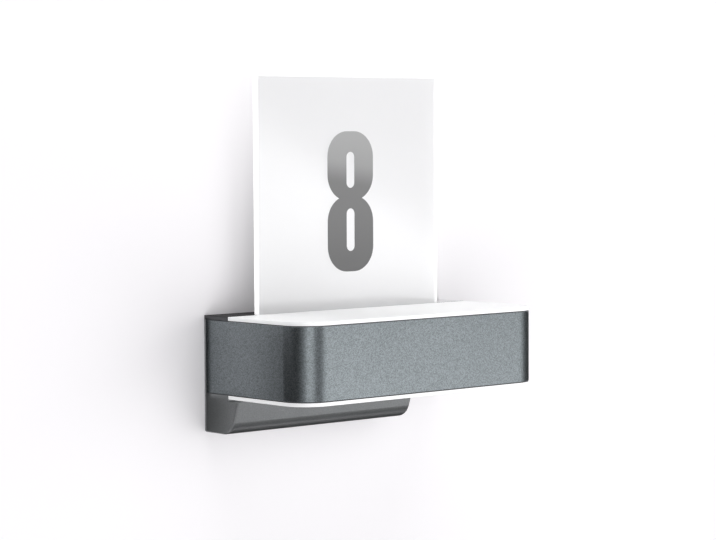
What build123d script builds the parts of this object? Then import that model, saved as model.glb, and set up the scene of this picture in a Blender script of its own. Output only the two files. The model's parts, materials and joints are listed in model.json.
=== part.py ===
from build123d import *
import os

# A wall light that shows a house number. A bent band and two opal plates make the lamp head, which
# slides off a rear housing. A panel with the numeral stands in a slot of that housing, and a lower
# base holds the sensor. X runs right along the wall, Y into the wall and Z up, in millimetres. The
# origin lies on the wall, midway between the two wall screws. Depths are measured out from the wall.

# Lamp head: band, seals and diffusers
BODY_WIDTH = 230.0
BODY_DEPTH = 106.0
BAND_HEIGHT = 51.4
BAND_WALL = 2.0
BAND_CORNER = 21.0
BAND_CHAMFER = 0.3
SEAL_THICK = 0.5
SEAL_WIDTH = 1.4
DIFFUSER_THICK = 2.6
DIFFUSER_ROUND = 0.5
RIM_HEIGHT = 3.5
RIM_WALL = 2.0
PEG_RADIUS = 2.2
PEG_LENGTH = 14.0
TOWER_WALL = 1.8
TOWER_HEIGHT = 19.0
TOWER_BACK = 41.0
TOWER_FRONT_GAP = 21.0

# Number panel and its film numeral
PANEL_WIDTH = 174.0
PANEL_HEIGHT = 184.0
PANEL_THICK = 5.0
PANEL_INSERT = 16.0
PANEL_FACE = 26.0
PANEL_CHAMFER = 0.4
NUMERAL_LIFT = 27.1
NUMERAL_WIDTH = 44.0
NUMERAL_BAR = 14.8
NUMERAL_CORNER = 18.5
COUNTER_WIDTH = 7.8
COUNTER_UPPER = 26.1
COUNTER_LOWER = 30.9
LOBE_OVERLAP = 3.1
FILM_THICK = 0.25

# Wall plate, seal and cable entry
PLATE_RIM = 1.5
PLATE_STEP = 1.5
WALL_HOLE_SPACING = 160.0
WALL_HOLE_RADIUS = 2.5
WALL_PAD_RADIUS = 5.5
WALL_PAD_HEIGHT = 1.5
WALL_SEAL_INSET = 4.0
WALL_SEAL_WIDTH = 3.0
WALL_SEAL_DEPTH = 1.0
CABLE_X = -18.0
CABLE_Z = -6.0
CABLE_RADIUS = 4.75
GROMMET_NECK = 8.0
GROMMET_FLANGE = 11.0
GROMMET_LIP = 1.0
GROMMET_NOSE = 5.0

# Rear housing with the panel slot
HOUSING_WALL = 2.0
SLOT_WALL = 2.2
SLOT_LEDGE = 8.0
TROUGH_DEPTH = 5.0
BOSS_RADIUS = 4.0
BOSS_INSET = 11.0
BOSS_RISE = 15.0
SCREW_PAD = 4.0

# Lower base with its sensor
BASE_WIDTH = 168.0
BASE_DROP = 25.0
BASE_TOP_DEPTH = 36.5
BASE_FOOT_DEPTH = 28.9
BASE_ROUND = 12.5
BASE_WALL = 2.0
BASE_END_ROUND = 1.6
BASE_GAP = 1.6
BASE_SCREW_INSET = 11.0
BASE_SCREW_DEPTH = 9.0
LUG_WIDTH = 10.0
LUG_HEIGHT = 9.0
SENSOR_BOARD_WIDTH = 94.0
SENSOR_BOARD_HEIGHT = 18.0
SENSOR_BOARD_INSET = 25.0
SENSOR_CAN_WIDTH = 28.0
SENSOR_CAN_HEIGHT = 14.0
SENSOR_CAN_DEPTH = 5.0
SENSOR_CAN_OFFSET = 17.0
KNOB_RADIUS = 4.0
KNOB_HEIGHT = 3.1
KNOB_RECESS = 0.2
KNOB_SLOT = 1.2
KNOB_STEM_RADIUS = 1.5
KNOB_STEM_LENGTH = 5.5
KNOB_DEPTH = 12.0
KNOB_PITCH = 17.0
KNOB_OFFSET = 5.0
POT_WIDTH = 10.0
POT_HEIGHT = 7.5
POT_RISE = 1.0
LENS_OFFSET = 41.0
LENS_RADIUS = 2.5
LENS_FLANGE = 4.0
LENS_FLANGE_THICK = 1.0
LENS_LENGTH = 4.6

# Chassis that carries the head
CHASSIS_WALL = 2.0
CHASSIS_GAP = 0.5
SHELF_THICK = 3.0
BAND_LUG_WIDTH = 12.0
BAND_LUG_HEIGHT = 9.0
BAND_LUG_THICK = 2.0
BAND_LUG_DEPTH = 58.0
BAND_LUG_X = 50.0
STUD_LENGTH = 7.0
STUD_RISE = 5.0
NUT_WIDTH = 5.5
NUT_THICK = 2.4
TONGUE_INSET = 27.0
TONGUE_WIDTH = 14.0
TONGUE_THICK = 3.0
TONGUE_REACH = 19.0
LOCK_DEPTH = 16.0
LOCK_RADIUS = 2.0
LOCK_HEAD_RADIUS = 3.5
LOCK_HEAD_HEIGHT = 2.4
LOCK_NUT_WIDTH = 7.0
LOCK_NUT_THICK = 2.2

# Light sources, reflectors, driver and connectors
BOARD_THICK = 1.6
LED_SIDE_GAP = 38.0
LED_BACK_GAP = 8.0
LED_FRONT_GAP = 9.0
LED_SIZE = 3.0
LED_HEIGHT = 0.8
LED_SIDE_INSET = 10.0
LED_END_INSET = 4.0
LED_COLUMNS = 6
LED_ROWS = 3
BOARD_HOLE_INSET = 5.0
REFLECTOR_SIDE_FLARE = 21.0
REFLECTOR_END_FLARE = 3.0
REFLECTOR_HEIGHT = 18.0
REFLECTOR_MARGIN = 10.0
REFLECTOR_WALL = 1.0
REFLECTOR_CORNER = 4.0
EDGE_LED_COUNT = 9
EDGE_LED_PITCH = 16.0
DRIVER_WIDTH = 68.0
DRIVER_HEIGHT = 24.0
DRIVER_X = 36.0
DRIVER_Z = -6.0
POST_RADIUS = 2.5
POST_HEIGHT = 3.0
TRANSFORMER_WIDTH = 20.0
TRANSFORMER_HEIGHT = 15.0
TRANSFORMER_DEPTH = 10.0
TRANSFORMER_X = 20.0
CAPACITOR_RADIUS = 4.5
CAPACITOR_LENGTH = 10.0
CAPACITOR_X = 46.0
CAPACITOR_PITCH = 11.0
TERMINAL_WIDTH = 30.0
TERMINAL_HEIGHT = 16.0
TERMINAL_DEPTH = 14.0
TERMINAL_X = -53.0
TERMINAL_Z = -6.0
TERMINAL_PITCH = 10.0
WIRE_HOLE_RADIUS = 2.0
WIRE_HOLE_DEPTH = 5.0
PLUG_X = 36.0
PLUG_Z = -9.0
PLUG_WIDTH = 16.0
PLUG_HEIGHT = 9.0
PLUG_DEPTH = 5.0
SOCKET_DEPTH = 8.0
SOCKET_FLANGE = 2.0
PIN_RADIUS = 1.2
PIN_PITCH = 6.0
PIN_REACH = 6.0
DRIVER_TERMINAL_X = 36.0
DRIVER_TERMINAL_WIDTH = 10.0
DRIVER_TERMINAL_HEIGHT = 10.0
DRIVER_TERMINAL_DEPTH = 5.0
WIRE_RADIUS = 0.9
WIRE_BEND = 3.0
WIRE_SEAT = 4.0
WIRE_RUN = 4.0
RIBBON_WIDTH = 6.0
RIBBON_THICK = 0.8
HEADER_HEIGHT = 2.8
LINK_RADIUS = 0.8
LINK_PITCH = 8.0

# Small screws, and the clearances that mating pieces share
SCREW_RADIUS = 1.5
SCREW_HEAD_RADIUS = 2.6
SCREW_HEAD_HEIGHT = 1.8
SCREW_SLOT = 0.8
SCREW_GRIP = 8.0
BOARD_SCREW_RADIUS = 1.0
BOARD_SCREW_HEAD = 2.0
BOARD_SCREW_GRIP = 2.4
THREAD_GAP = 0.05
FIT_GAP = 0.3
SLIDE_GAP = 0.4
JOINT_LINE = 0.2
CAP_LINE = 0.9

# Levels that several pieces share
half_width = BODY_WIDTH / 2
band_top = BAND_HEIGHT / 2
seat_top = band_top + SEAL_THICK
body_top = seat_top + DIFFUSER_THICK
inner_half = half_width - BAND_WALL
inner_front = BODY_DEPTH - BAND_WALL
band_back = PLATE_RIM + FIT_GAP
diffuser_back = PANEL_FACE + JOINT_LINE
cap_front = PANEL_FACE - CAP_LINE
core_half = inner_half - SLIDE_GAP
core_top = band_top + FIT_GAP
slot_back = PANEL_FACE - PANEL_THICK - FIT_GAP
slot_front = PANEL_FACE + FIT_GAP
slot_half = PANEL_WIDTH / 2 + FIT_GAP
panel_foot = body_top - PANEL_INSERT
trough_floor = panel_foot - TROUGH_DEPTH
housing_front = slot_front + SLOT_WALL
housing_inner = housing_front - HOUSING_WALL
room_half = core_half - HOUSING_WALL
room_top = core_top - HOUSING_WALL
plate_face = PLATE_RIM + PLATE_STEP
base_left = -half_width
base_right = base_left + BASE_WIDTH
base_bottom = -body_top - BASE_DROP
base_floor = base_bottom + BASE_WALL
base_ledge = -body_top - BASE_GAP
chassis_back = housing_front + CHASSIS_GAP
chassis_front = chassis_back + CHASSIS_WALL
shelf_top = SHELF_THICK / 2
tongue_middle = half_width - TONGUE_INSET
led_width = 2 * (inner_half - LED_SIDE_GAP)
led_back = chassis_front + LED_BACK_GAP
led_length = inner_front - LED_FRONT_GAP - led_back
led_middle = led_back + led_length / 2
foot_width = led_width - 2 * REFLECTOR_MARGIN
foot_length = led_length - 2 * REFLECTOR_MARGIN
sensor_right = base_right - SENSOR_BOARD_INSET
sensor_x = sensor_right - SENSOR_BOARD_WIDTH / 2
boss_face = housing_front - SCREW_PAD
boss_x = half_width - BOSS_INSET
wall_holes = [(-WALL_HOLE_SPACING / 2, 0), (WALL_HOLE_SPACING / 2, 0)]
post_face = plate_face + POST_HEIGHT
board_face = post_face + BOARD_THICK
wire_depth = board_face + FIT_GAP + WIRE_RADIUS
lead_x = [PLUG_X - PIN_PITCH / 2, PLUG_X + PIN_PITCH / 2]


def at_depth(depth):
    """The plane parallel to the wall at this depth, drawn as seen from the front."""
    return Plane.XZ.offset(depth)


def facing_down(height):
    """The level plane at this height, facing down. Its own y axis is the depth from the wall."""
    return Plane((0, 0, height), x_dir=(1, 0, 0), z_dir=(0, 0, -1))


def block(x_range, depth_range, z_range, mode=Mode.ADD):
    """A square block between limits across, out from the wall and up."""
    with BuildSketch(at_depth(depth_range[0])) as face:
        with Locations((sum(x_range) / 2, sum(z_range) / 2)):
            Rectangle(x_range[1] - x_range[0], z_range[1] - z_range[0])
    extrude(face.sketch, amount=depth_range[1] - depth_range[0], mode=mode)


def rods(plane, spots, radius, length, mode=Mode.ADD):
    """Round rods of one length, standing on the spots of a plane."""
    with BuildSketch(plane) as ends:
        with Locations(*spots):
            Circle(radius)
    extrude(ends.sketch, amount=length, mode=mode)


def bars(plane, spots, size, length, mode=Mode.ADD):
    """Square bars of one length, standing on the spots of a plane."""
    with BuildSketch(plane) as ends:
        with Locations(*spots):
            Rectangle(*size)
    extrude(ends.sketch, amount=length, mode=mode)


def screws(plane, spots, radius, head_radius, grip):
    """Slotted screws whose heads stand on a plane, with the shanks behind it."""
    rods(plane, spots, head_radius, SCREW_HEAD_HEIGHT)
    rods(plane, spots, radius, -grip)
    slot = (2 * head_radius, SCREW_SLOT)
    bars(plane.offset(SCREW_HEAD_HEIGHT), spots, slot, -SCREW_SLOT, Mode.SUBTRACT)


def plan_slab(inset, back, low, high, mode=Mode.ADD):
    """A level slab in the body's plan outline, drawn in by an inset, with a straight rear edge."""
    front = BODY_DEPTH - inset
    with BuildSketch(Plane.XY.offset(low)) as outline:
        with Locations((0, -(back + front) / 2)):
            Rectangle(BODY_WIDTH - 2 * inset, front - back)
        fillet(outline.vertices().group_by(Axis.Y)[0], BAND_CORNER - inset)
    extrude(outline.sketch, amount=high - low, mode=mode)


def leads(routes):
    """Round wires along straight runs with rounded bends."""
    for points in routes:
        with BuildLine() as route:
            FilletPolyline(*points, radius=WIRE_BEND)
        with BuildSketch(Plane(origin=route.line @ 0, z_dir=route.line % 0)) as section:
            Circle(WIRE_RADIUS)
        sweep(section.sketch, path=route.line)


def spread(pitch, count):
    """Evenly spaced places about zero."""
    return [pitch * (i - (count - 1) / 2) for i in range(count)]


def corners(x, y):
    """The four corners of a rectangle about zero."""
    return [(-x, -y), (-x, y), (x, -y), (x, y)]


def save(piece, name):
    """Label a finished piece and write its file."""
    piece.part.label = name
    export_step(piece.part, f"parts/{name}.step")


os.makedirs("parts", exist_ok=True)
boss_spots = corners(boss_x, BOSS_RISE)

# Wall plate: an L-shaped rim on the wall, with a step that locates the housing and the base
rim_edge = (PLATE_RIM, plate_face)
driver_hole_x = DRIVER_WIDTH / 2 - BOARD_HOLE_INSET
driver_hole_z = DRIVER_HEIGHT / 2 - BOARD_HOLE_INSET
driver_spots = [(DRIVER_X + x, DRIVER_Z + z) for x, z in corners(driver_hole_x, driver_hole_z)]
sensor_z = base_floor + POT_RISE + SENSOR_BOARD_HEIGHT / 2
sensor_half = SENSOR_BOARD_WIDTH / 2 - BOARD_HOLE_INSET
sensor_top_hole = sensor_z + SENSOR_BOARD_HEIGHT / 2 - BOARD_HOLE_INSET
sensor_spots = [(sensor_x + x, sensor_top_hole) for x in (-sensor_half, sensor_half)]
base_screw_x = [base_left + BASE_SCREW_INSET, base_right - BASE_SCREW_INSET]

with BuildPart() as wall_plate:
    block((-half_width, half_width), (0, PLATE_RIM), (-body_top, body_top))
    block((base_left, base_right), (0, PLATE_RIM), (base_bottom, -body_top))
    fillet(wall_plate.edges().filter_by(Axis.Y).group_by(Axis.Z)[0], BASE_END_ROUND)
    step_half = room_half - JOINT_LINE
    step_top = room_top - JOINT_LINE
    block((-step_half, step_half), rim_edge, (-step_top, step_top))
    step_left = base_left + BASE_WALL + JOINT_LINE
    step_right = base_right - BASE_WALL - JOINT_LINE
    block((step_left, step_right), rim_edge, (base_floor + JOINT_LINE, -core_top - JOINT_LINE))
    rods(at_depth(plate_face), boss_spots, BOSS_RADIUS, boss_face - plate_face)
    rods(at_depth(boss_face), boss_spots, SCREW_RADIUS + THREAD_GAP, -2 * SCREW_GRIP, Mode.SUBTRACT)
    rods(at_depth(plate_face), wall_holes, WALL_PAD_RADIUS, WALL_PAD_HEIGHT)
    rods(at_depth(0), wall_holes, WALL_HOLE_RADIUS, plate_face + WALL_PAD_HEIGHT, Mode.SUBTRACT)
    rods(at_depth(plate_face), driver_spots + sensor_spots, POST_RADIUS, POST_HEIGHT)
    pilot = BOARD_SCREW_RADIUS + THREAD_GAP
    rods(at_depth(post_face), driver_spots + sensor_spots, pilot, -POST_HEIGHT, Mode.SUBTRACT)
    for x in base_screw_x:
        lug_depth = (plate_face, BASE_SCREW_DEPTH + LUG_WIDTH / 2)
        block((x - LUG_WIDTH / 2, x + LUG_WIDTH / 2), lug_depth, (base_floor, base_floor + LUG_HEIGHT))
    lug_holes = [(x, -BASE_SCREW_DEPTH) for x in base_screw_x]
    rods(Plane.XY.offset(base_floor), lug_holes, SCREW_RADIUS + THREAD_GAP, LUG_HEIGHT, Mode.SUBTRACT)
    rods(at_depth(0), [(CABLE_X, CABLE_Z)], GROMMET_NECK, plate_face, Mode.SUBTRACT)
    rods(at_depth(0), [(CABLE_X, CABLE_Z)], GROMMET_FLANGE + JOINT_LINE, GROMMET_LIP, Mode.SUBTRACT)
    with BuildSketch(at_depth(0)):
        Rectangle(BODY_WIDTH - 2 * WALL_SEAL_INSET, 2 * (body_top - WALL_SEAL_INSET))
        seal_in = WALL_SEAL_INSET + WALL_SEAL_WIDTH
        Rectangle(BODY_WIDTH - 2 * seal_in, 2 * (body_top - seal_in), mode=Mode.SUBTRACT)
    extrude(amount=WALL_SEAL_DEPTH, mode=Mode.SUBTRACT)
save(wall_plate, "wall_plate")

with BuildPart() as wall_gasket:
    with BuildSketch(at_depth(0)):
        Rectangle(BODY_WIDTH - 2 * WALL_SEAL_INSET, 2 * (body_top - WALL_SEAL_INSET))
        Rectangle(BODY_WIDTH - 2 * seal_in, 2 * (body_top - seal_in), mode=Mode.SUBTRACT)
    extrude(amount=WALL_SEAL_DEPTH)
save(wall_gasket, "wall_gasket")

# Cable grommet: a neck through the plate with a lip on each side and a nose round the cable
with BuildPart() as cable_grommet:
    centre = [(CABLE_X, CABLE_Z)]
    rods(at_depth(0), centre, GROMMET_FLANGE, GROMMET_LIP)
    rods(at_depth(GROMMET_LIP), centre, GROMMET_NECK, plate_face - GROMMET_LIP)
    rods(at_depth(plate_face), centre, GROMMET_FLANGE, GROMMET_LIP)
    rods(at_depth(plate_face + GROMMET_LIP), centre, GROMMET_NECK, GROMMET_NOSE)
    nose_end = plate_face + GROMMET_LIP + GROMMET_NOSE
    chamfer(cable_grommet.edges().group_by(Axis.Y)[0], (GROMMET_NECK - CABLE_RADIUS) / 2)
    rods(at_depth(0), centre, CABLE_RADIUS, nose_end, Mode.SUBTRACT)
save(cable_grommet, "cable_grommet")

# Terminal block with three poles and a clamp screw at both ends of each
poles = [TERMINAL_X + x for x in spread(TERMINAL_PITCH, 3)]
terminal_face = plate_face + TERMINAL_DEPTH
clamp_spots = [(x, TERMINAL_Z + side * TERMINAL_HEIGHT / 4) for x in poles for side in (-1, 1)]
clamp_end = plate_face + WIRE_HOLE_DEPTH + WIRE_HOLE_RADIUS
with BuildPart() as terminal_block:
    terminal_x = (TERMINAL_X - TERMINAL_WIDTH / 2, TERMINAL_X + TERMINAL_WIDTH / 2)
    terminal_z = (TERMINAL_Z - TERMINAL_HEIGHT / 2, TERMINAL_Z + TERMINAL_HEIGHT / 2)
    block(terminal_x, (plate_face, terminal_face), terminal_z)
    wire_spots = [(x, -plate_face - WIRE_HOLE_DEPTH) for x in poles]
    rods(Plane.XY.offset(terminal_z[0]), wire_spots, WIRE_HOLE_RADIUS, TERMINAL_HEIGHT, Mode.SUBTRACT)
    clamp_hole = SCREW_RADIUS + THREAD_GAP
    rods(at_depth(clamp_end), clamp_spots, clamp_hole, terminal_face - clamp_end, Mode.SUBTRACT)
save(terminal_block, "terminal_block")

with BuildPart() as terminal_screws:
    clamp_head = terminal_face - SCREW_SLOT
    rods(at_depth(clamp_end), clamp_spots, SCREW_RADIUS, clamp_head - clamp_end)
    bars(at_depth(clamp_head), clamp_spots, (2 * SCREW_RADIUS, SCREW_SLOT), -SCREW_SLOT, Mode.SUBTRACT)
save(terminal_screws, "terminal_screws")

# Driver board on four posts, with its parts
with BuildPart() as driver_board:
    bars(at_depth(post_face), [(DRIVER_X, DRIVER_Z)], (DRIVER_WIDTH, DRIVER_HEIGHT), BOARD_THICK)
    rods(at_depth(post_face), driver_spots, pilot, BOARD_THICK, Mode.SUBTRACT)
save(driver_board, "driver_board")

with BuildPart() as driver_transformer:
    core_spot = [(TRANSFORMER_X, DRIVER_Z)]
    yoke = TRANSFORMER_DEPTH / 4
    bars(at_depth(board_face), core_spot, (TRANSFORMER_WIDTH, TRANSFORMER_HEIGHT), yoke)
    winding = (TRANSFORMER_WIDTH - yoke, TRANSFORMER_HEIGHT - yoke)
    bars(at_depth(board_face + yoke), core_spot, winding, TRANSFORMER_DEPTH - 2 * yoke)
    far_yoke = board_face + TRANSFORMER_DEPTH - yoke
    bars(at_depth(far_yoke), core_spot, (TRANSFORMER_WIDTH, TRANSFORMER_HEIGHT), yoke)
save(driver_transformer, "driver_transformer")

with BuildPart() as driver_capacitors:
    capacitor_spots = [(CAPACITOR_X, DRIVER_Z), (CAPACITOR_X + CAPACITOR_PITCH, DRIVER_Z)]
    rods(at_depth(board_face), capacitor_spots, CAPACITOR_RADIUS, CAPACITOR_LENGTH)
save(driver_capacitors, "driver_capacitors")

with BuildPart() as driver_screws:
    board_grip = BOARD_THICK + BOARD_SCREW_GRIP
    screws(at_depth(board_face), driver_spots, BOARD_SCREW_RADIUS, BOARD_SCREW_HEAD, board_grip)
save(driver_screws, "driver_screws")

# Rear housing: an open-backed box inside the band, a cap over it and a trough for the panel
tongue_low = FIT_GAP - room_top
tongue_high = tongue_low + TONGUE_THICK
trough_half = slot_half + HOUSING_WALL
plug_x = (PLUG_X - PLUG_WIDTH / 2, PLUG_X + PLUG_WIDTH / 2)
plug_z = (PLUG_Z - PLUG_HEIGHT / 2, PLUG_Z + PLUG_HEIGHT / 2)
lock_seat = -core_top
ribbon_middle = (DRIVER_X - DRIVER_WIDTH / 2 + sensor_right) / 2
ribbon_x = (ribbon_middle - RIBBON_WIDTH / 2, ribbon_middle + RIBBON_WIDTH / 2)
with BuildPart() as rear_housing:
    block((-core_half, core_half), (PLATE_RIM, housing_front), (-core_top, core_top))
    block((-room_half, room_half), (PLATE_RIM, housing_inner), (-room_top, room_top), Mode.SUBTRACT)
    block((-half_width, half_width), (PLATE_RIM, cap_front), (core_top, body_top))
    block((base_right + JOINT_LINE, half_width), (PLATE_RIM, cap_front), (-body_top, -core_top))
    trough_back = slot_back - HOUSING_WALL
    block((-trough_half, trough_half), (trough_back, housing_front), (trough_floor - HOUSING_WALL, core_top))
    block((-slot_half, slot_half), (slot_back, slot_front), (panel_foot, body_top), Mode.SUBTRACT)
    well_half = slot_half - SLOT_LEDGE
    block((-well_half, well_half), (slot_back, slot_front), (trough_floor, panel_foot), Mode.SUBTRACT)
    rods(at_depth(boss_face), boss_spots, BOSS_RADIUS, SCREW_PAD)
    head_room = SCREW_HEAD_HEIGHT + FIT_GAP
    rods(at_depth(housing_front), boss_spots, SCREW_HEAD_RADIUS + FIT_GAP, -head_room, Mode.SUBTRACT)
    rods(at_depth(boss_face), boss_spots, SCREW_RADIUS + FIT_GAP, SCREW_PAD, Mode.SUBTRACT)
    for side in (-1, 1):
        reach = TONGUE_WIDTH / 2 + FIT_GAP
        slot_x = (side * tongue_middle - reach, side * tongue_middle + reach)
        slot_z = (tongue_low - FIT_GAP, tongue_high + FIT_GAP)
        block(slot_x, (housing_inner, housing_front), slot_z, Mode.SUBTRACT)
    lock_spot = [(tongue_middle, -LOCK_DEPTH)]
    lock_well = LOCK_HEAD_RADIUS + FIT_GAP
    rods(facing_down(lock_seat), [(tongue_middle, LOCK_DEPTH)], lock_well, body_top, Mode.SUBTRACT)
    rods(Plane.XY.offset(-core_top), lock_spot, LOCK_RADIUS + FIT_GAP, HOUSING_WALL, Mode.SUBTRACT)
    block(plug_x, (housing_inner, housing_front), plug_z, Mode.SUBTRACT)
    ribbon_room = (board_face - FIT_GAP, board_face + RIBBON_THICK + 3 * FIT_GAP)
    ribbon_gate = (ribbon_x[0] - FIT_GAP, ribbon_x[1] + FIT_GAP)
    block(ribbon_gate, ribbon_room, (-core_top, -room_top), Mode.SUBTRACT)
save(rear_housing, "rear_housing")

with BuildPart() as housing_screws:
    head_seat = housing_front - head_room
    boss_grip = head_seat - boss_face + SCREW_GRIP
    screws(at_depth(head_seat), boss_spots, SCREW_RADIUS, SCREW_HEAD_RADIUS, boss_grip)
save(housing_screws, "housing_screws")

# Light strip in the trough, below the panel's lower edge
strip_depth = (slot_back + slot_front) / 2
strip_top = trough_floor + BOARD_THICK
with BuildPart() as edge_light_board:
    strip_size = (2 * (well_half - FIT_GAP), slot_front - slot_back - 2 * FIT_GAP)
    bars(Plane.XY.offset(trough_floor), [(0, -strip_depth)], strip_size, BOARD_THICK)
save(edge_light_board, "edge_light_board")

with BuildPart() as edge_leds:
    edge_spots = [(x, -strip_depth) for x in spread(EDGE_LED_PITCH, EDGE_LED_COUNT)]
    bars(Plane.XY.offset(strip_top), edge_spots, (LED_SIZE, LED_SIZE), LED_HEIGHT)
save(edge_leds, "edge_leds")

# Lower base: a hollow profile with closed ends, open to the wall plate and to the housing above
knob_spots = [(sensor_x + KNOB_OFFSET + KNOB_PITCH * i, -KNOB_DEPTH) for i in range(3)]
lens_spot = [(sensor_x - LENS_OFFSET, -KNOB_DEPTH)]


def base_outline(plane, opened, inset):
    """The base's side profile, lengthened at the back and top where it is open, then drawn in."""
    back = opened - PLATE_RIM
    roof = opened - core_top
    with BuildSketch(plane) as outline:
        with BuildLine():
            Polyline(
                (back, roof),
                (-cap_front, roof),
                (-cap_front, base_ledge),
                (-BASE_TOP_DEPTH, base_ledge),
                (-BASE_FOOT_DEPTH, base_bottom),
                (back, base_bottom),
                close=True,
            )
        make_face()
        fillet(outline.vertices().sort_by_distance((-BASE_FOOT_DEPTH, base_bottom))[0], BASE_ROUND)
        if inset:
            offset(amount=-inset, kind=Kind.INTERSECTION, mode=Mode.REPLACE)
    return outline.sketch


with BuildPart() as base_cover:
    extrude(base_outline(Plane.YZ.offset(base_left), 0, 0), amount=BASE_WIDTH)
    ends = base_cover.faces().filter_by(Axis.X).sort_by(Axis.X)
    shown = (ends[0].edges() + ends[-1].edges()).filter_by(
        lambda edge: edge.center().Z < base_ledge and edge.center().Y < -PLATE_RIM - BASE_END_ROUND
    )
    fillet(shown, BASE_END_ROUND)
    hollow = base_outline(Plane.YZ.offset(base_left + BASE_WALL), 2 * BASE_WALL, BASE_WALL)
    extrude(hollow, amount=BASE_WIDTH - 2 * BASE_WALL, mode=Mode.SUBTRACT)
    rods(Plane.XY.offset(base_bottom), knob_spots, KNOB_RADIUS + FIT_GAP, BASE_WALL, Mode.SUBTRACT)
    rods(Plane.XY.offset(base_bottom), lens_spot, LENS_RADIUS + FIT_GAP, BASE_WALL, Mode.SUBTRACT)
    sinks = [Plane((x, -BASE_SCREW_DEPTH, base_bottom), (1, 0, 0), (0, 0, -1)) for x in base_screw_x]
    with Locations(*sinks):
        CounterSinkHole(SCREW_RADIUS + FIT_GAP, SCREW_HEAD_RADIUS + FIT_GAP, BASE_WALL, 90)
save(base_cover, "base_cover")

with BuildPart() as base_screws:
    sink_depth = SCREW_HEAD_RADIUS - SCREW_RADIUS
    with Locations(*sinks):
        Cone(SCREW_RADIUS, SCREW_HEAD_RADIUS, sink_depth, align=(Align.CENTER, Align.CENTER, Align.MAX))
        Cylinder(SCREW_RADIUS, BASE_WALL + SCREW_GRIP, align=(Align.CENTER, Align.CENTER, Align.MAX))
save(base_screws, "base_screws")

# Sensor board on two posts in the base, with its shielded sensor and three setting pots
with BuildPart() as sensor_board:
    board_size = (SENSOR_BOARD_WIDTH, SENSOR_BOARD_HEIGHT)
    bars(at_depth(post_face), [(sensor_x, sensor_z)], board_size, BOARD_THICK)
    rods(at_depth(post_face), sensor_spots, pilot, BOARD_THICK, Mode.SUBTRACT)
save(sensor_board, "sensor_board")

with BuildPart() as sensor_module:
    can_size = (SENSOR_CAN_WIDTH, SENSOR_CAN_HEIGHT)
    bars(at_depth(board_face), [(sensor_x - SENSOR_CAN_OFFSET, sensor_z)], can_size, SENSOR_CAN_DEPTH)
save(sensor_module, "sensor_module")

with BuildPart() as sensor_screws:
    screws(at_depth(board_face), sensor_spots, BOARD_SCREW_RADIUS, BOARD_SCREW_HEAD, board_grip)
save(sensor_screws, "sensor_screws")

knob_foot = base_bottom + KNOB_RECESS
knob_head = knob_foot + KNOB_HEIGHT
pot_low = knob_head + FIT_GAP
with BuildPart() as adjuster_pots:
    pot_front = KNOB_DEPTH + POT_WIDTH / 2
    pot_middle = [(x, -(board_face + pot_front) / 2) for x, y in knob_spots]
    bars(Plane.XY.offset(pot_low), pot_middle, (POT_WIDTH, pot_front - board_face), POT_HEIGHT)
    rods(Plane.XY.offset(pot_low), knob_spots, KNOB_STEM_RADIUS + FIT_GAP, KNOB_STEM_LENGTH, Mode.SUBTRACT)
save(adjuster_pots, "adjuster_pots")

for name, spot in zip(("time_adjuster", "dusk_adjuster", "range_adjuster"), knob_spots):
    with BuildPart() as adjuster:
        rods(Plane.XY.offset(knob_foot), [spot], KNOB_RADIUS, KNOB_HEIGHT)
        rods(Plane.XY.offset(knob_head), [spot], KNOB_STEM_RADIUS, KNOB_STEM_LENGTH)
        bars(Plane.XY.offset(knob_foot), [spot], (2 * KNOB_RADIUS, KNOB_SLOT), KNOB_SLOT, Mode.SUBTRACT)
    save(adjuster, name)

with BuildPart() as dusk_lens:
    rods(Plane.XY.offset(knob_foot), lens_spot, LENS_RADIUS, LENS_LENGTH)
    rods(Plane.XY.offset(base_floor), lens_spot, LENS_FLANGE, LENS_FLANGE_THICK)
    fillet(dusk_lens.edges().group_by(Axis.Z)[0], LENS_RADIUS / 2)
save(dusk_lens, "dusk_lens")

# Front band with welded studs on its inside
stud_z = shelf_top + STUD_RISE
side_studs = [(-BAND_LUG_DEPTH, stud_z)]
front_studs = [(-BAND_LUG_X, stud_z), (BAND_LUG_X, stud_z)]
with BuildPart() as front_band:
    plan_slab(0, band_back, -band_top, band_top)
    plan_slab(BAND_WALL, 0, -band_top, band_top, Mode.SUBTRACT)
    rims = front_band.faces().filter_by(Axis.Z)
    chamfer(rims.edges(), BAND_CHAMFER)
    rods(Plane.YZ.offset(-inner_half), side_studs, SCREW_RADIUS, STUD_LENGTH)
    rods(Plane.YZ.offset(inner_half), side_studs, SCREW_RADIUS, -STUD_LENGTH)
    rods(at_depth(inner_front), front_studs, SCREW_RADIUS, -STUD_LENGTH)
save(front_band, "front_band")

with BuildPart() as top_gasket:
    plan_slab(BAND_CHAMFER, diffuser_back, band_top, seat_top)
    plan_slab(BAND_CHAMFER + SEAL_WIDTH, 0, band_top, seat_top, Mode.SUBTRACT)
save(top_gasket, "top_gasket")

with BuildPart() as bottom_gasket:
    mirror(top_gasket.part, about=Plane.XY)
save(bottom_gasket, "bottom_gasket")

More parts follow.
